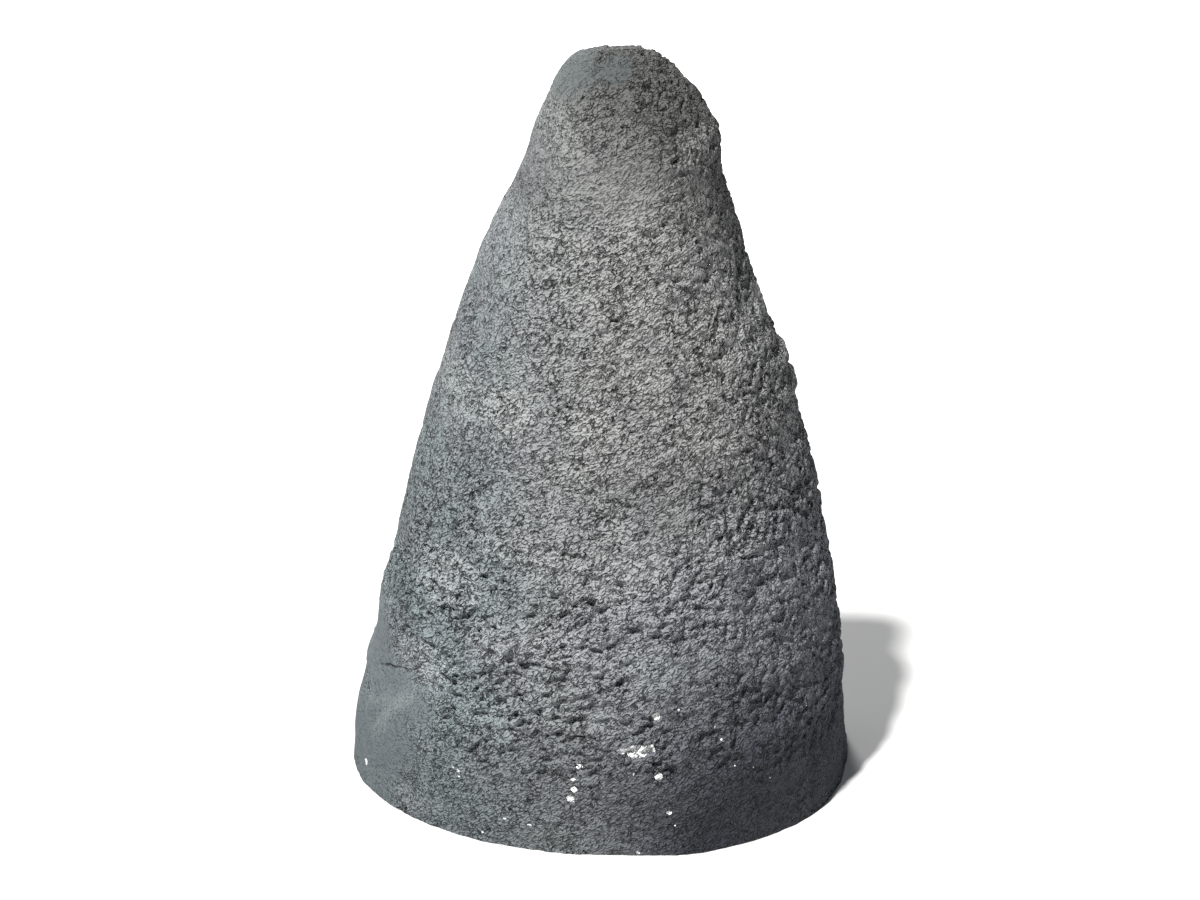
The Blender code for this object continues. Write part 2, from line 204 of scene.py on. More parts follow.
def select_faces(piece, wanted):
    """Selects the faces that are wanted, and leaves the piece in edit mode."""
    only(piece)
    bpy.ops.object.mode_set(mode="EDIT")
    bpy.ops.mesh.select_mode(type="FACE")
    bpy.ops.mesh.select_all(action="DESELECT")
    bpy.ops.object.mode_set(mode="OBJECT")
    for face in piece.data.polygons:
        face.select = bool(wanted(face))
    bpy.ops.object.mode_set(mode="EDIT")


def thin_out(piece, unseen, share):
    """Keeps only a share of the faces whose corners are all unseen."""
    unseen = set(np.flatnonzero(unseen).tolist())
    select_faces(piece, lambda face: all(corner in unseen for corner in face.vertices))
    bpy.ops.mesh.decimate(ratio=share)
    bpy.ops.object.mode_set(mode="OBJECT")


def apply_modifier(piece, kind, **settings):
    only(piece)
    modifier = piece.modifiers.new(kind.title(), kind)
    for name, value in settings.items():
        setattr(modifier, name, value)
    bpy.ops.object.modifier_apply(modifier=modifier.name)


def looks_along(direction):
    """A test of whether a face looks in a direction."""
    return lambda face: face.normal.dot(direction) > ALIGNED


def lengthen(piece, faces, by):
    """Extrudes the faces that look one way."""
    select_faces(piece, faces)
    bpy.ops.mesh.extrude_region_move(TRANSFORM_OT_translate={"value": by})
    bpy.ops.object.mode_set(mode="OBJECT")


def lengthen_past_its_cuts(piece):
    """Carries a sawn piece on past its foot and front, which are cut again once it is smoothed."""
    down_the_front = Vector((0, FRONT_LEAN, -1)).normalized()
    lengthen(piece, looks_along(DOWN), down_the_front * SPARE)
    lengthen(piece, looks_along(FRONT_NORMAL), FRONT_NORMAL * SPARE)


def saw(piece, place, normal):
    """Cuts off what lies beyond a plane and closes the cut."""
    only(piece)
    bpy.ops.object.mode_set(mode="EDIT")
    bpy.ops.mesh.select_all(action="SELECT")
    bpy.ops.mesh.bisect(
        plane_co=place, plane_no=normal, use_fill=True, clear_outer=True, threshold=FINEST
    )
    bpy.ops.object.mode_set(mode="OBJECT")


def saw_foot_and_front(piece, setback):
    saw(piece, Vector((0, FRONT_Y - setback, 0)), FRONT_NORMAL)
    saw(piece, Vector((0, 0, 0)), DOWN)


def surface_of(piece):
    mesh = bmesh.new()
    mesh.from_mesh(piece.data)
    tree = BVHTree.FromBMesh(mesh)
    mesh.free()
    return tree


def distances_to(tree, points):
    """The distance in millimetres from each point, given in millimetres, to a surface."""
    return np.array([tree.find_nearest(Vector(point) * MM)[3] / MM for point in points.tolist()])


def points_and_normals(piece):
    """The vertices in millimetres, and their normals."""
    count = len(piece.data.vertices)
    points, normals = np.empty(count * 3), np.empty(count * 3)
    piece.data.vertices.foreach_get("co", points)
    piece.data.vertex_normals.foreach_get("vector", normals)
    return points.reshape(-1, 3) / MM, normals.reshape(-1, 3)


def place_points(piece, points):
    piece.data.vertices.foreach_set("co", (points * MM).astype(np.float32).ravel())
    piece.data.update()


def store(piece, name, values, each="POINT"):
    """Keeps one number for each vertex or face, for the material to read."""
    kept = piece.data.attributes.new(name, "FLOAT", each)
    kept.data.foreach_set("value", np.asarray(values, np.float32))


def ease(values, low, high):
    """0 below low, 1 above high, and smooth between them."""
    share = np.clip((values - low) / (high - low), 0, 1)
    return share * share * (3 - 2 * share)


def noise_over(points, size, seed=0.0):
    """Smooth noise from about -1 to 1. The size of its lumps is one number, or one for each axis, and
    each seed gives a pattern of its own."""
    places = points / np.asarray(size, float) + seed * 13.7
    return np.array([noise.noise(place) for place in places.tolist()])


def turned(points, degrees):
    """The points turned about the depth, so that a pattern runs up to the right on the back."""
    turn = math.radians(degrees)
    along = points[:, 0] * math.cos(turn) + points[:, 2] * math.sin(turn)
    across = points[:, 2] * math.cos(turn) - points[:, 0] * math.sin(turn)
    return np.column_stack([along, points[:, 1], across])


def distance_to_line(points, line):
    """The distance of each point, seen from the back, from a line of (x, height) points."""
    flat = points[:, [0, 2]]
    nearest = np.full(len(points), 1e6)
    for start, end in zip(line, line[1:]):
        start, end = np.array(start), np.array(end)
        run = end - start
        share = np.clip(((flat - start) @ run) / (run @ run), 0, 1)
        nearest = np.minimum(nearest, np.linalg.norm(flat - start - share[:, None] * run, axis=1))
    return nearest


def inside_oval(points, oval):
    """1 at the middle of an oval (x, height, half width, half height) on the back, 0 at its edge, and
    less outside."""
    x, height, half_width, half_height = oval
    return 1 - np.hypot((points[:, 0] - x) / half_width, (points[:, 2] - height) / half_height)


def ovals_over(points, ovals, ragged, soft):
    """The strongest of some ovals at each point of the back. They fade out over a ragged edge."""
    strength = np.zeros(len(points))
    for oval in ovals:
        inside = inside_oval(points, oval[:4]) + ragged
        strength = np.maximum(strength, oval[4] * ease(inside, -0.1, soft))
    return strength * (points[:, 1] < BACK_ENDS)


# ---------------------------------------------------------------- materials


def add_node(material, kind, inputs=(), **settings):
    """Adds a node, and joins or sets its inputs by name or number."""
    tree = material.node_tree
    node = tree.nodes.new(kind)
    for name, value in settings.items():
        setattr(node, name, value)
    for name, value in dict(inputs).items():
        socket = node.inputs[name]
        if isinstance(value, bpy.types.NodeSocket):
            tree.links.new(value, socket)
        else:
            socket.default_value = value
    return node


def new_material(name):
    """A material with a Principled surface and its Object coordinates."""
    material = bpy.data.materials.new(name)
    material.use_nodes = True
    surface = material.node_tree.nodes["Principled BSDF"]
    coordinates = add_node(material, "ShaderNodeTexCoord").outputs["Object"]
    return material, surface, coordinates


def grain(material, coordinates, size, detail=2.0, warp=0.0):
    """Noise with lumps of a size in metres."""
    inputs = {"Vector": coordinates, "Scale": 1 / size, "Detail": detail, "Distortion": warp}
    return add_node(material, "ShaderNodeTexNoise", inputs).outputs["Fac"]


def attribute(material, name):
    return add_node(material, "ShaderNodeAttribute", attribute_name=name).outputs["Fac"]


def reach(material, value, low, high, to_low=0.0, to_high=1.0):
    """Maps a range to another one, and holds it at the ends."""
    return add_node(
        material,
        "ShaderNodeMapRange",
        {"Value": value, "From Min": low, "From Max": high, "To Min": to_low, "To Max": to_high},
        interpolation_type="SMOOTHSTEP",
    ).outputs["Result"]


def maths(material, operation, first, second=0.0):
    node = add_node(material, "ShaderNodeMath", {0: first, 1: second}, operation=operation)
    return node.outputs["Value"]


def plus(material, first, second):
    return maths(material, "ADD", first, second)


def minus(material, first, second):
    return maths(material, "SUBTRACT", first, second)


def times(material, first, second):
    return maths(material, "MULTIPLY", first, second)


def mixed(material, share, first, second, blend="MIX"):
    """Two colours, mixed by a share. A Mix node has a pair of sockets for each kind of data, so the
    colours' pair is taken by its kind."""
    node = add_node(material, "ShaderNodeMix", data_type="RGBA", blend_type=blend)
    sockets = [node.inputs["Factor"]] + [socket for socket in node.inputs if socket.type == "RGBA"]
    for socket, value in zip(sockets, (share, first, second)):
        if isinstance(value, bpy.types.NodeSocket):
            material.node_tree.links.new(value, socket)
        else:
            socket.default_value = (*value, 1) if socket.type == "RGBA" else value
    return next(socket for socket in node.outputs if socket.type == "RGBA")


def ramped(material, value, stops):
    """The colour at a value, on a ramp through (position, colour) stops."""
    node = add_node(material, "ShaderNodeValToRGB", {"Fac": value})
    ramp = node.color_ramp
    while len(ramp.elements) < len(stops):
        ramp.elements.new(0.5)
    for element, (position, colour) in zip(ramp.elements, stops):
        element.position = position
        element.color = (*colour, 1)
    return node.outputs["Color"]


def bumped(material, height, depth, under=None):
    inputs = {"Height": height, "Distance": depth, "Strength": 1.0}
    if under is not None:
        inputs["Normal"] = under
    return add_node(material, "ShaderNodeBump", inputs).outputs["Normal"]


def link(material, output, surface, name):
    material.node_tree.links.new(output, surface.inputs[name])


def cement_finish():
    """Dark sandy cement: cool grey to the left, warm in the middle, darker over the crown, with white
    chips. Painted shade darkens it towards the bottom, along the right foot and in its creases, pits
    and hollows."""
    material, surface, at = new_material("dark_sandy_cement")
    # The cement was wiped on up to the right, so its grain is drawn out that way.
    wiped = add_node(material, "ShaderNodeMapping", {"Vector": at}, vector_type="TEXTURE")
    wiped.inputs["Rotation"].default_value = (0, math.radians(-35), 0)
    wiped.inputs["Scale"].default_value = (1.5, 1, 1)
    along = wiped.outputs["Vector"]
    sand = grain(material, along, 0.76 * MM, detail=0)
    stones = reach(material, grain(material, along, 2.2 * MM, detail=0), 0.46, 0.53)
    holes = grain(material, along, 1.15 * MM, detail=0)
    curls = grain(material, along, 2.9 * MM, detail=0, warp=0.8)
    broken = grain(material, along, 4.5 * MM, detail=0)
    clouds = grain(material, at, 22 * MM, detail=2)
    axes = add_node(material, "ShaderNodeSeparateXYZ", {"Vector": at}).outputs
    hollow, rugged = attribute(material, "hollow"), attribute(material, "rugged")
    smooth, chip = attribute(material, "smooth"), attribute(material, "chip")
    crack, smear = attribute(material, "crack"), attribute(material, "smear")
    fold = reach(material, maths(material, "ABSOLUTE", minus(material, curls, 0.5)), 0.06, 0.005)
    fold = times(material, fold, reach(material, broken, 0.42, 0.52))
    fold = times(material, fold, rugged)
    pit = times(material, reach(material, holes, 0.4, 0.33), rugged)

    cool, neutral, dim = (0.163, 0.19, 0.198), (0.246, 0.251, 0.246), (0.215, 0.22, 0.224)
    tint = mixed(material, reach(material, axes["X"], -0.06, 0.01), cool, neutral)
    tint = mixed(material, reach(material, axes["X"], 0.03, 0.08), tint, dim)
    tint = mixed(material, reach(material, clouds, 0.36, 0.66, 0, 0.4), tint, (0.155, 0.15, 0.17))
    neck = reach(material, axes["Z"], 0.232, 0.246)
    neck = times(material, neck, reach(material, axes["Z"], 0.272, 0.256))
    neck = times(material, neck, reach(material, axes["X"], 0.035, 0.0, 0.0, 0.33))
    tint = mixed(material, neck, tint, (0.05, 0.053, 0.052))
    crown = plus(material, axes["Z"], times(material, axes["X"], 0.7))
    tint = mixed(material, reach(material, crown, 0.242, 0.296, 0, 0.8), tint, (0.05, 0.0515, 0.047))
    # Pale blooms: partly the cement's own tone, partly painted light.
    tint = mixed(material, attribute(material, "bloom_and_painted_light"), tint, (0.4, 0.41, 0.405))
    # Painted shade: the cement is painted darker towards the bottom, and more in the lower middle.
    low_painted_shade = reach(material, axes["Z"], 0.015, 0.055, 0.46, 0.0)
    tint = mixed(material, low_painted_shade, tint, (0.05, 0.058, 0.06))
    middle = reach(material, axes["X"], -0.03, 0.0)
    middle = times(material, middle, reach(material, axes["Z"], 0.055, 0.095, 0.25, 0.0))
    tint = mixed(material, middle, tint, (0.05, 0.055, 0.06))
    # Painted shade: the foot is painted darker towards the right, away from the daylight.
    foot = minus(material, axes["Z"], times(material, axes["X"], 0.3))
    foot = reach(material, foot, -0.01, 0.11, 0.97, 0.05)
    foot = times(material, foot, reach(material, axes["X"], -0.01, 0.045))
    foot = times(material, foot, reach(material, axes["X"], 0.06, 0.085, 1.0, 0.8))
    tint = mixed(material, foot, tint, (0.02, 0.0215, 0.031))
    bluish = reach(material, axes["Z"], 0.16, 0.08)
    bluish = times(material, bluish, reach(material, axes["X"], -0.03, 0.02, 0.35, 1.0))
    tint = mixed(material, bluish, tint, (0.95, 1.0, 1.065), "MULTIPLY")
    # Dark stains: partly the cement's own tone, partly painted shade.
    tint = mixed(material, attribute(material, "stain_and_painted_shade"), tint, (0.024, 0.026, 0.032))
    tint = mixed(material, times(material, smooth, 0.68), tint, (0.055, 0.07, 0.077))
    tint = mixed(material, times(material, smear, 0.55), tint, (0.17, 0.19, 0.195))

    shade = (0.1, 0.1, 0.105)
    dark_grains = times(material, reach(material, sand, 0.3, 0.5, 0.1, 0.0), rugged)
    tint = mixed(material, dark_grains, tint, (0.2, 0.2, 0.2), "MULTIPLY")
    # Painted shade in the relief's creases, pits and hollows.
    tint = mixed(material, times(material, fold, 0.75), tint, shade, "MULTIPLY")
    tint = mixed(material, times(material, pit, 0.75), tint, shade, "MULTIPLY")
    tint = mixed(material, times(material, hollow, 0.15), tint, shade, "MULTIPLY")
    tint = mixed(material, crack, tint, (0.012, 0.013, 0.015))
    spikes = grain(material, at, 1.2 * MM, detail=2)
    spikes = plus(material, spikes, grain(material, at, 3.2 * MM, detail=0))
    ragged_chip = plus(material, chip, times(material, spikes, 0.45))
    tint = mixed(material, reach(material, ragged_chip, 0.52, 0.57), tint, (0.8, 0.82, 0.82))
    link(material, tint, surface, "Base Color")
    surface.inputs["Roughness"].default_value = 0.88
    surface.inputs["Specular IOR Level"].default_value = 0.3

    grainy = maths(material, "MAXIMUM", rugged, 0.25)
    normal = bumped(material, times(material, sand, grainy), 2.1 * MM)
    normal = bumped(material, times(material, stones, rugged), 0.75 * MM, under=normal)
    normal = bumped(material, minus(material, 1.0, pit), 1.0 * MM, under=normal)
    normal = bumped(material, minus(material, 1.0, fold), 1.4 * MM, under=normal)
    link(material, normal, surface, "Normal")
    return material


# ---------------------------------------------------------------- the cement coat


def cement_relief(points, normals, marks):
    """For each point: how far the cement stands out or in, in millimetres, how smooth it was
    trowelled, and how rugged it is."""
    x, height = points[:, 0], points[:, 2]
    leftward, rightward = ease(-normals[:, 0], 0.35, 0.8), ease(normals[:, 0], 0.2, 0.6)
    ragged = 0.16 * noise_over(points, 7, 20) + 0.12 * noise_over(points, 2.4, 21)
    smooth = ovals_over(points, TROWELLED, ragged, 0.45)
    foot_band = 1 - ease(height + 3 * noise_over(points, 22, 1), 22, 40)
    low, head = 1 - ease(height, 80, 150), ease(height, 215, 262)
    middle = ease(height, 95, 130) * (1 - ease(height, 190, 230))
    region = 1 - 0.2 * head - 0.2 * leftward * ease(height, 140, 200) + 0.2 * rightward * middle
    region += 0.2 * leftward * ease(height, 70, 90) * (1 - ease(height, 125, 150))
    neck = ease(height, 232, 245) * (1 - ease(height, 258, 268))
    region -= 0.3 * neck * ease(x, -18, -5) * (1 - ease(x, 15, 30))
    right_foot = ease(x, 15, 45) * (1 - ease(height, 75, 115))
    region -= 0.35 * right_foot
    patchy = 0.35 + 0.65 * ease(noise_over(points, 15, 2) + 0.5 * noise_over(points, 6, 3), -0.3, 0.3)
    rough = region * (1 - smooth) * (1 - 0.75 * foot_band)
    rough *= 1 - 0.55 * ease(-normals[:, 0], 0.8, 0.97)

    # Crags: flat tops with steep-sided hollows between them, that run up to the right
    crag = noise_over(turned(points, 24), (3.8, 3.8, 2.6), 4) + 0.4 * noise_over(points, 2.1, 5)
    crags = (ease(crag, -0.35, 0.12) - 1) * patchy * (0.75 + 0.45 * low)
    # Soft lumps that meet in creases
    lump = np.abs(noise_over(points, (10, 10, 8), 6))
    lumps = (ease(lump, 0.0, 0.3) - 0.7) * (0.5 + 0.25 * low + 0.2 * rightward)
    # Curled creases
    curl = np.abs(noise_over(points, 5.2, 7) + 0.25 * noise_over(points, 2.4, 8))
    curls = (1 - ease(curl, 0.0, 0.11)) * ease(noise_over(points, 9, 9), -0.1, 0.25)
    # Wrinkled ledges across the lower part
    ledge = noise_over(turned(points, 5), (19, 12, 3.7), 10)
    ledges = ease(ledge, -0.15, 0.3) * ease(height, 30, 46) * (1 - ease(height, 80, 112))
    ledges *= 1 - rightward
    # Upright worm-like ridges round the head
    worms = ease(np.abs(noise_over(points, (3.0, 3.0, 6.5), 11)), 0.0, 0.3)
    worms *= ease(height, 252, 264) * ease(x, -14, -4)
    swells = noise_over(points, 27, 12)

    relief = rough * (
        (CRAG_RISE + 0.35 * low) * crags
        + LUMP_RISE * lumps
        - CURL_DEPTH * curls
        + LEDGE_RISE * ledges
        + WORM_RISE * worms
        + SAND_RISE * noise_over(points, 2.3, 13)
    )
    relief += SWELL_RISE * swells * (1 - smooth)
    uneven = ease(noise_over(points, 3.0, 14), -0.5, 0.3)
    for line in marks["creases"]:
        crease = 1 - ease(distance_to_line(points, line), 0.1, 1.3)
        relief -= CREASE_DEPTH * crease * uneven * (1 - smooth)
    for line in marks["scratches"]:
        relief -= SCRATCH_DEPTH * (1 - ease(distance_to_line(points, line), 0.1, 0.9))
    for pit_x, pit_height, radius in marks["pits"]:
        away = np.hypot(x - pit_x, height - pit_height)
        relief -= PIT_DEPTH * (1 - ease(away, 0.4 * radius, radius))
    for lump_x, lump_height, radius, rise in marks["lumps"]:
        away = np.hypot(x - lump_x, height - lump_height)
        relief += rise * (1 - ease(away, 0.3 * radius, radius)) * (points[:, 1] < LUMPS_END)
    crest = 1 - ease(distance_to_line(points, HEAD_EDGE), 0.0, 1.8)
    relief += CREST_RISE * crest * (points[:, 1] < CREST_ENDS)
    relief += CROWN_RISE * ease(height, 268, 290)
    rugged = (region + 0.2 * right_foot) * (0.65 + 0.35 * patchy)
    rugged *= (1 - 0.78 * smooth) * (1 - 0.1 * foot_band)
    return relief, smooth, rugged


def on_back(surface, across, down):
    """The place on the back, as x and height in millimetres, that the camera sees at a point of its
    frame."""
    ahead = (CAMERA_TARGET - CAMERA_PLACE).normalized()
    right = ahead.cross(Vector((0, 0, 1))).normalized()
    up = right.cross(ahead)
    far = CAMERA_LENS / SENSOR_WIDE * FRAME_WIDE
    ray = ahead * far + right * (across - FRAME_WIDE / 2) - up * (down - FRAME_HIGH / 2)
    place = surface.ray_cast(CAMERA_PLACE, ray.normalized())[0]
    return place.x / MM, place.z / MM


def place_marks(surface):
    """The back's marks, by kind, where they fall on the cement, in millimetres."""
    drawn = {"cracks": CRACKS, "creases": CREASES, "scratches": SCRATCHES, "smears": SMEARS}
    marks = {
        kind: [[on_back(surface, *point) for point in line] for line in lines]
        for kind, lines in drawn.items()
    }
    marks["chips"] = [
        (*on_back(surface, across, down), width * FRAME_STEP, tall * FRAME_STEP)
        for across, down, width, tall in CHIPS
    ]
    marks["pits"] = [(*on_back(surface, *place), radius) for *place, radius in PITS]
    marks["lumps"] = [(*on_back(surface, *place), radius, rise) for *place, radius, rise in LUMPS]
    return marks


def marks_of(points, marks):
    """The chips, cracks and trowel smears at each point of the back: 1 at the middle of one, and less
    towards its edge."""
    back = points[:, 1] < BACK_ENDS
    chip = np.full(len(points), -1.0)
    for x, height, width, tall in marks["chips"]:
        spare = 0.4 * min(1, max(width, tall) / 2.5 - 0.3)
        oval = (x, height, width / 2 + spare, tall / 2 + spare)
        chip = np.maximum(chip, inside_oval(points, oval))
    crack, smear = np.zeros(len(points)), np.zeros(len(points))
    for line in marks["cracks"]:
        away = distance_to_line(points, line) + 0.5 * noise_over(points, 2.5, 15)
        crack = np.maximum(crack, 1 - ease(away, 0.05, 0.5))
    for line in marks["smears"]:
        smear = np.maximum(smear, 1 - ease(distance_to_line(points, line), 0.2, 1.7))
    return np.where(back, chip, -1), crack * back, smear * back


def refine_marks(cement, marks):
    """Smaller faces under the chips and cracks, whose edges are finer than the rest."""
    chip, crack, _ = marks_of(points_and_normals(cement)[0], marks)
    near = set(np.flatnonzero((chip > -0.6) | (crack > 0.02)).tolist())
    select_faces(cement, lambda face: any(corner in near for corner in face.vertices))
    bpy.ops.mesh.subdivide(number_cuts=2)
    bpy.ops.object.mode_set(mode="OBJECT")


def cast_cement():
    """The cement coat: the solid's form, smoothed, with its relief in the mesh."""
    cement = copy_of("cement_coat", "cement_coat_skin")
    marks = place_marks(surface_of(cement))
    wall = copy_of("geode_wall", "wall_to_measure_from")
    lengthen_past_its_cuts(wall)
    wall_surface = surface_of(wall)
    bpy.data.objects.remove(wall)

    lengthen_past_its_cuts(cement)
    apply_modifier(cement, "REMESH", mode="VOXEL", voxel_size=CEMENT_GRAIN)
    apply_modifier(cement, "SMOOTH", factor=0.5, iterations=50)

    from_wall = distances_to(wall_surface, points_and_normals(cement)[0])
    thin_out(cement, from_wall < AGAINST_THE_WALL, CEMENT_KEPT)
    refine_marks(cement, marks)

    points, normals = points_and_normals(cement)
    outer = ease(distances_to(wall_surface, points), 2.4, 3.6)
    relief, smooth, rugged = cement_relief(points, normals, marks)
    chip, crack, smear = marks_of(points, marks)
    relief = (relief - CHIP_DEPTH * (chip > 0) - CRACK_DEPTH * crack) * outer
    # It stays inside the box, but for its foot, which is still to be sawn off.
    low, high = (np.array(corner) / MM for corner in cad_box)
    low, high = low + [INSIDE_THE_BOX, INSIDE_THE_BOX, -SPARE / MM], high - INSIDE_THE_BOX
    place_points(cement, np.clip(points + normals * relief[:, None], low, high))
    ragged = 0.25 * noise_over(points, 5, 30)
    numbers = {
        # how far the relief goes in, which sets the painted shade in its hollows
        "hollow": ease(-relief, 1.0, 2.6),
        "rugged": rugged,
        "smooth": smooth,
        "chip": chip,
        "crack": crack,
        "smear": smear,
        "stain_and_painted_shade": ovals_over(points, STAINS_AND_PAINTED_SHADE, ragged, 0.6),
        "bloom_and_painted_light": ovals_over(points, BLOOMS_AND_PAINTED_LIGHT, ragged, 0.6),
    }
    for name, values in numbers.items():
        store(cement, name, values)
    faces = sum(len(face.vertices) - 2 for face in cement.data.polygons)
    apply_modifier(cement, "DECIMATE", ratio=min(1, MOST_CEMENT_FACES / faces))
    saw_foot_and_front(cement, COAT_SETBACK)
    only(cement)
    bpy.ops.object.shade_smooth_by_angle(angle=math.radians(75))
    cement.data.materials.append(cement_finish())
    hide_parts("cement_coat")
    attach(cement, "root")
    return cement


# ---------------------------------------------------------------- the geode wall


def wall_finish():
    """The geode's wall: brown-grey basalt outside, then fine agate bands, and white quartz under the
    crystals, polished where it is sawn."""
    material, surface, at = new_material("banded_geode_wall")
    across = attribute(material, "across")
    waver = times(material, minus(material, grain(material, at, 9 * MM, detail=3), 0.5), 0.16)
    place = plus(material, across, waver)
    stops = [
        (0.00, (0.62, 0.60, 0.62)),
        (0.18, (0.55, 0.53, 0.57)),
        (0.26, (0.30, 0.33, 0.39)),
        (0.33, (0.50, 0.51, 0.54)),
        (0.38, (0.21, 0.25, 0.31)),
        (0.44, (0.44, 0.45, 0.48)),
        (0.49, (0.17, 0.20, 0.24)),
        (0.54, (0.38, 0.38, 0.38)),
        (0.58, (0.20, 0.24, 0.22)),
        (0.66, (0.16, 0.13, 0.115)),
        (1.00, (0.115, 0.10, 0.095)),
    ]
    bands = ramped(material, place, stops)
    fine_lines = maths(material, "SINE", times(material, place, 150.0))
    fine_lines = reach(material, fine_lines, -0.6, 0.9, 0.0, 0.22)
    agate = times(material, fine_lines, reach(material, place, 0.6, 0.55))
    tint = mixed(material, agate, bands, (0.16, 0.19, 0.24))
    specks = reach(material, grain(material, at, 1.1 * MM, detail=2), 0.55, 0.68, 0.0, 0.35)
    basalt = times(material, specks, reach(material, place, 0.6, 0.68))
    tint = mixed(material, basalt, tint, (0.3, 0.29, 0.27))
    link(material, tint, surface, "Base Color")
    polish = reach(material, attribute(material, "polished"), 0.3, 0.7, 0.8, 0.16)
    link(material, polish, surface, "Roughness")
    scratches = grain(material, at, 1.4 * MM, detail=2)
    rough_only = reach(material, attribute(material, "polished"), 0.3, 0.7, 1.0, 0.03)
    link(material, bumped(material, times(material, scratches, rough_only), 0.8 * MM), surface, "Normal")
    return material


def neighbours_mean(piece, values, rounds):
    """The values of the vertices, blurred along the edges."""
    ends = np.empty(len(piece.data.edges) * 2, int)
    piece.data.edges.foreach_get("vertices", ends)
    first, second = ends[0::2], ends[1::2]
    joined = np.maximum(np.bincount(ends, minlength=len(values)), 1)
    for _ in range(rounds):
        total = np.bincount(first, values[second], len(values))
        total = total + np.bincount(second, values[first], len(values))
        values = 0.5 * values + 0.5 * total / joined
    return values


def round_the_hollow(points, depth, inner):
    """Moves the hollow's edge inwards in the plane of the front, so that it runs in an uneven curve.
    Depth is how far each point is before the front, and inner how far from the hollow, in
    millimetres."""
    across = points[:, [0, 2]] - HOLLOW_MIDDLE
    turn = np.arctan2(across[:, 1] / HOLLOW_STRETCH, across[:, 0])
    reach_out = np.hypot(*across.T)
    edge = (inner < RIM_NEAR) & (np.abs(depth) < RIM_FLAT)
    turns = (turn + math.pi) / math.tau * RIM_STEPS
    place = turns.astype(int) % RIM_STEPS
    far = np.full(RIM_STEPS, np.nan)
    for step in range(RIM_STEPS):
        here = edge & (place == step)
        if here.any():
            far[step] = np.median(reach_out[here])
    known = np.flatnonzero(~np.isnan(far))
    far = np.interp(np.arange(RIM_STEPS), known, far[known], period=RIM_STEPS)

    blur = np.exp(-0.5 * (np.arange(-BLUR_STEPS, BLUR_STEPS + 1) / BLUR_WIDTH) ** 2)
    wrapped = np.concatenate([far[-BLUR_STEPS:], far, far[:BLUR_STEPS]])
    even = np.convolve(wrapped, blur / blur.sum(), mode="valid")

    def waves(angle, size, layer):
        return noise.noise(Vector((size * math.cos(angle), size * math.sin(angle), layer)))

    angles = np.linspace(-math.pi, math.pi, RIM_STEPS, endpoint=False)
    wander = np.array([waves(angle, 3.1, 2.0) + 0.5 * waves(angle, 9, 5.0) for angle in angles])
    shift = np.minimum(even - far, RIM_MOST_OUT) - RIM_INWARDS + RIM_WANDER * np.minimum(wander, 0.4)
    moved = np.interp(turns, np.arange(RIM_STEPS + 1), np.append(shift, shift[0]))
    share = (1 - ease(inner, *RIM_FOLLOWS_ACROSS)) * (1 - ease(-depth, *RIM_FOLLOWS_BEHIND))
    unit = across / reach_out[:, None]
    points = points.copy()
    points[:, [0, 2]] += unit * (moved * share)[:, None]
    points[:, 1] -= unit[:, 1] * moved * share * FRONT_LEAN
    return points


def cut_wall(hollow_surface, coat_surface):
    """The wall of the geode: its sawn front polished flat, and a number across the rim for its bands."""
    wall = copy_of("geode_wall", "geode_wall_cut")
    apply_modifier(wall, "REMESH", mode="VOXEL", voxel_size=WALL_GRAIN)
    points = points_and_normals(wall)[0]
    front = np.array([0, FRONT_Y / MM, 0])
    depth = (points - front) @ np.array(FRONT_NORMAL)
    on_front = np.abs(depth) < LAID_FLAT
    points[on_front] -= depth[on_front, None] * np.array(FRONT_NORMAL)
    on_foot = np.abs(points[:, 2]) < LAID_FLAT
    points[on_foot, 2] = 0
    place_points(wall, points)

    held = wall.vertex_groups.new(name="smoothed")
    held.add(np.flatnonzero(~on_front & ~on_foot).tolist(), 1.0, "REPLACE")
    apply_modifier(wall, "SMOOTH", factor=0.5, iterations=6, vertex_group="smoothed")

    points = points_and_normals(wall)[0]
    inner, outer = distances_to(hollow_surface, points), distances_to(coat_surface, points)
    band = neighbours_mean(wall, inner / (inner + outer + 1e-6), 24)
    place_points(wall, round_the_hollow(points, depth, inner))
    store(wall, "across", band)
    thin_out(wall, depth < -BEHIND_THE_FRONT, WALL_KEPT)

    store(wall, "polished", points_and_normals(wall)[1] @ np.array(FRONT_NORMAL) > 0.97)
    only(wall)
    bpy.ops.object.shade_smooth_by_angle(angle=math.radians(35))
    wall.data.materials.append(wall_finish())
    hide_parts("geode_wall")
    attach(wall, "root")
    return wall


# ---------------------------------------------------------------- the crystals


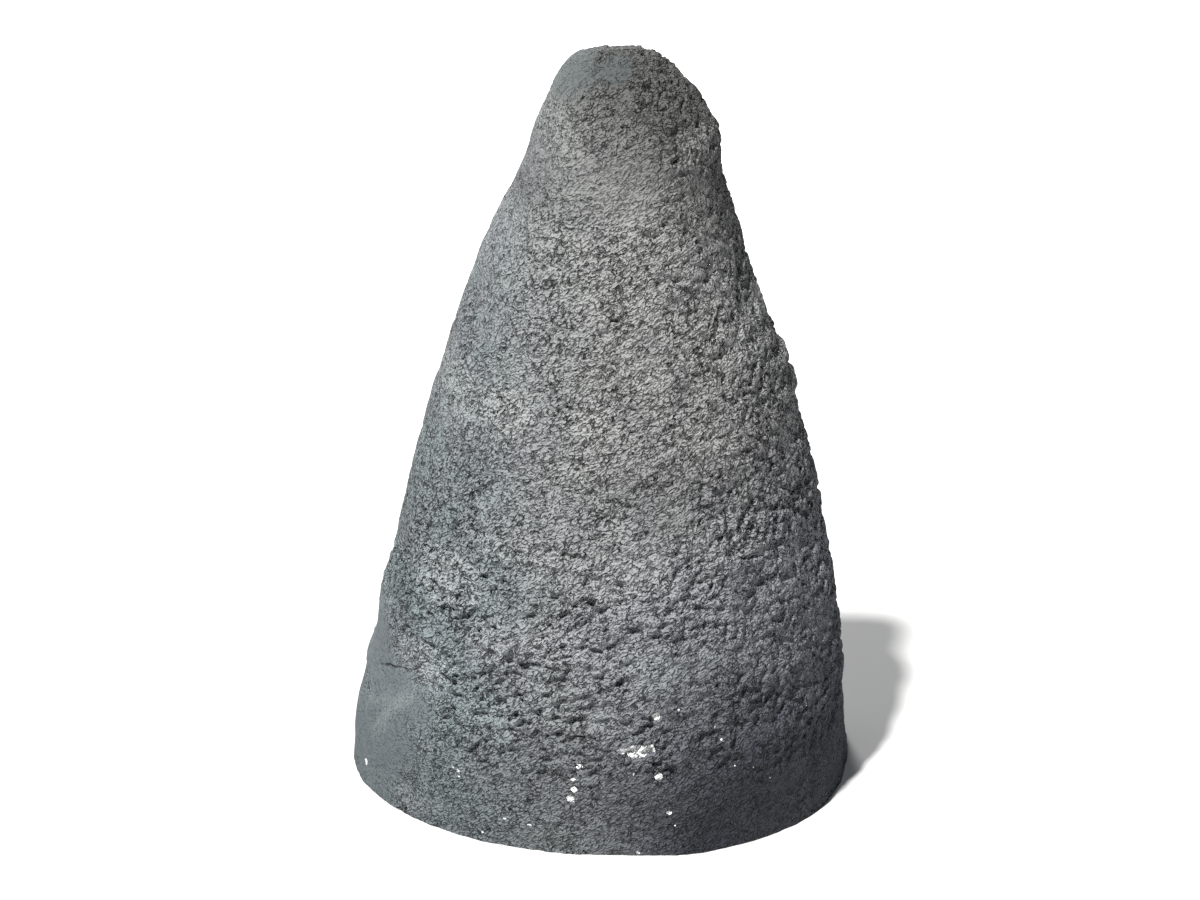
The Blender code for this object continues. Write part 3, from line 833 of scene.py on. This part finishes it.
def crystal_finish():
    """Clear violet crystal, deep at the tips and pale towards its bed, over an absorbing body, with
    the sawn quartz white."""
    material, surface, at = new_material("violet_crystal")
    high, sawn = attribute(material, "high"), attribute(material, "sawn")
    tone = attribute(material, "tone")
    patches = times(material, minus(material, grain(material, at, 16 * MM, detail=1), 0.5), 0.5)
    stops = [
        (0.00, (0.74, 0.69, 0.80)),
        (0.14, (0.52, 0.38, 0.70)),
        (0.30, (0.36, 0.19, 0.58)),
        (0.62, (0.22, 0.085, 0.43)),
        (1.00, (0.12, 0.03, 0.28)),
    ]
    depth = ramped(material, plus(material, high, patches), stops)
    darker = reach(material, tone, 0.55, 0.0, 0.0, 0.75)
    tint = mixed(material, darker, depth, (0.4, 0.33, 0.5), "MULTIPLY")
    lighter = reach(material, tone, 0.7, 1.0, 0.0, 0.3)
    tint = mixed(material, lighter, tint, (0.62, 0.5, 0.82))
    bed = attribute(material, "bed")
    bites = times(material, minus(material, grain(material, at, 3.2 * MM, detail=1), 0.5), 1.1)
    teeth = plus(material, bed, bites)
    quartz = mixed(material, reach(material, teeth, 0.25, 0.75), (0.83, 0.82, 0.84), (0.45, 0.3, 0.62))
    tint = mixed(material, sawn, tint, quartz)
    link(material, tint, surface, "Base Color")
    surface.inputs["Roughness"].default_value = 0.04
    surface.inputs["IOR"].default_value = QUARTZ_IOR
    surface.inputs["Transmission Weight"].default_value = 0.55
    steps = grain(material, at, 2.5 * MM, detail=0)
    link(material, bumped(material, steps, 0.06 * MM), surface, "Normal")
    body = add_node(material, "ShaderNodeVolumeAbsorption")
    body.inputs["Color"].default_value = (0.62, 0.3, 0.85, 1)
    body.inputs["Density"].default_value = 90
    output = material.node_tree.nodes["Material Output"]
    link(material, body.outputs["Volume"], output, "Volume")
    return material


def add_point(mesh, place, axis, width, length, turn, chance):
    """One small six-sided crystal with a pointed end, its root sunk below its place."""
    side = axis.orthogonal().normalized()
    across = axis.cross(side)
    shoulder = length * chance.uniform(0.15, 0.55)
    root, ring = [], []
    for corner in range(6):
        angle = turn + corner * math.tau / 6
        out = (side * math.cos(angle) + across * math.sin(angle)) * width / 2
        root.append(mesh.verts.new(place - axis * 1.6 * MM + out * 0.8))
        ring.append(mesh.verts.new(place + axis * shoulder * chance.uniform(0.75, 1.1) + out))
    tip = mesh.verts.new(place + axis * length + side * width * chance.uniform(-0.12, 0.12))
    for corner in range(6):
        after = (corner + 1) % 6
        mesh.faces.new((root[corner], root[after], ring[after], ring[corner]))
        mesh.faces.new((ring[corner], ring[after], tip))
    mesh.faces.new(root[::-1])


def grow_crystals(wall_surface):
    """The crust of crystals from the solid, with small points in its gaps."""
    crystals = copy_of("amethyst_crust", "amethyst_crystals")
    sawn_at = Vector((0, FRONT_Y, 0)).dot(FRONT_NORMAL) - CRUST_SETBACK

    def is_sawn(face):
        off = abs(face.center.dot(FRONT_NORMAL) - sawn_at)
        return looks_along(FRONT_NORMAL)(face) and off < 0.3 * MM

    only(crystals)
    bpy.ops.object.mode_set(mode="EDIT")
    bpy.ops.mesh.select_all(action="SELECT")
    bpy.ops.mesh.dissolve_limited(angle_limit=math.radians(1.5))
    bpy.ops.object.mode_set(mode="OBJECT")

    chance = random.Random(5)
    crystals.data.calc_loop_triangles()
    vertices, faces = crystals.data.vertices, crystals.data.loop_triangles
    corners_of = [[vertices[corner].co.copy() for corner in face.vertices] for face in faces]
    areas = [face.area for face in faces]
    mesh = bmesh.new()
    mesh.from_mesh(crystals.data)
    grown = []
    for smallest, largest, spacing, lowest, highest, tries in SMALL_POINTS:
        for corners in chance.choices(corners_of, weights=areas, k=tries):
            first, second = sorted((chance.random(), chance.random()))
            place = corners[0] * first + corners[1] * (second - first) + corners[2] * (1 - second)
            bed, _, _, height = wall_surface.find_nearest(place)
            width = chance.uniform(smallest, largest) * MM
            behind = -(place - Vector((0, FRONT_Y, 0))).dot(FRONT_NORMAL)
            if not lowest * MM < height < highest * MM or behind < 0.9 * width:
                continue
            if any((place - other).length < spacing * (width + wide) for other, wide in grown):
                continue
            grown.append((place, width))
            lean = Vector([chance.uniform(-0.3, 0.3) for _ in range(3)])
            axis = ((place - bed).normalized() + lean).normalized()
            length, turn = width * chance.uniform(0.9, 1.4), chance.uniform(0, math.tau)
            add_point(mesh, place, axis, width, length, turn, chance)
    mesh.to_mesh(crystals.data)
    mesh.free()

    select_faces(crystals, is_sawn)
    bpy.ops.mesh.quads_convert_to_tris()
    bpy.ops.mesh.subdivide(number_cuts=7)
    bpy.ops.object.mode_set(mode="OBJECT")
    height = distances_to(wall_surface, points_and_normals(crystals)[0])
    store(crystals, "high", ease(height, 1.0, 11.5))
    store(crystals, "bed", ease(height, 1.0, 6.5))
    faces = crystals.data.polygons
    store(crystals, "sawn", [is_sawn(face) for face in faces], "FACE")
    store(crystals, "tone", [chance.random() for _ in faces], "FACE")
    only(crystals)
    bpy.ops.object.shade_flat()
    crystals.data.materials.append(crystal_finish())
    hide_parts("amethyst_crust")
    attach(crystals, "root")
    return crystals


# ---------------------------------------------------------------- the stage


def lay_floor():
    """A plain pale floor."""
    bpy.ops.mesh.primitive_plane_add(size=FLOOR_SIZE)
    floor = bpy.context.object
    floor.name = "floor"
    material, surface, at = new_material("pale_floor")
    tint = mixed(material, grain(material, at, 0.5), (0.5, 0.502, 0.505), (0.52, 0.522, 0.525))
    link(material, tint, surface, "Base Color")
    surface.inputs["Roughness"].default_value = 0.9
    surface.inputs["Specular IOR Level"].default_value = 0.1
    floor.data.materials.append(material)


def aim(thing, target):
    thing.rotation_euler = (target - thing.location).to_track_quat("-Z", "Y").to_euler()


def hang(name, data, place, target):
    """Puts a light or a camera in its place, turned towards a target."""
    thing = bpy.data.objects.new(name, data)
    bpy.context.scene.collection.objects.link(thing)
    thing.location = place
    aim(thing, target)
    return thing


def set_stage():
    """Floor, soft daylight from the upper left of the back, a softer light on the crystals, and the
    camera."""
    scene = bpy.context.scene
    lay_floor()
    world = bpy.data.worlds.new("pale_sky")
    world.use_nodes = True
    background = world.node_tree.nodes["Background"]
    background.inputs["Color"].default_value = (0.93, 0.965, 1.0, 1)
    background.inputs["Strength"].default_value = SKY_STRENGTH
    scene.world = world
    day = bpy.data.lights.new("daylight", "SUN")
    day.energy = DAY_STRENGTH
    day.angle = DAY_SPREAD
    day.color = (1.0, 0.985, 0.96)
    hang("daylight", day, KEY_PLACE, LIGHT_AIM)
    soft = bpy.data.lights.new("crystal_light", "AREA")
    soft.shape = "DISK"
    soft.size = CRYSTAL_LIGHT_SIZE
    soft.energy = CRYSTAL_LIGHT_WATTS
    soft.color = (1.0, 0.99, 0.97)
    hang("crystal_light", soft, CRYSTAL_LIGHT_PLACE, LIGHT_AIM)
    scene.view_settings.view_transform = "Standard"

    camera = bpy.data.cameras.new("camera")
    camera.lens = CAMERA_LENS
    camera.sensor_width = SENSOR_WIDE
    camera.clip_start, camera.clip_end = 0.05, FLOOR_SIZE
    scene.camera = hang("camera", camera, CAMERA_PLACE, CAMERA_TARGET)


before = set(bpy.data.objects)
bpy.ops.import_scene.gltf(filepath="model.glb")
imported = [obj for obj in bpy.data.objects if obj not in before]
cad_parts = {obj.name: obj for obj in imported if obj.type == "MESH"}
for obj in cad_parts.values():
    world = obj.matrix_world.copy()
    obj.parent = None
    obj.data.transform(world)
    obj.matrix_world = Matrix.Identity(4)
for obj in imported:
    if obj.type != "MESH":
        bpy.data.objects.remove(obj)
cad_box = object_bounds()
set_stage()
cast_cement()
cut_wall(surface_of(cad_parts["amethyst_crust"]), surface_of(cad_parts["cement_coat"]))
grow_crystals(surface_of(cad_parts["geode_wall"]))
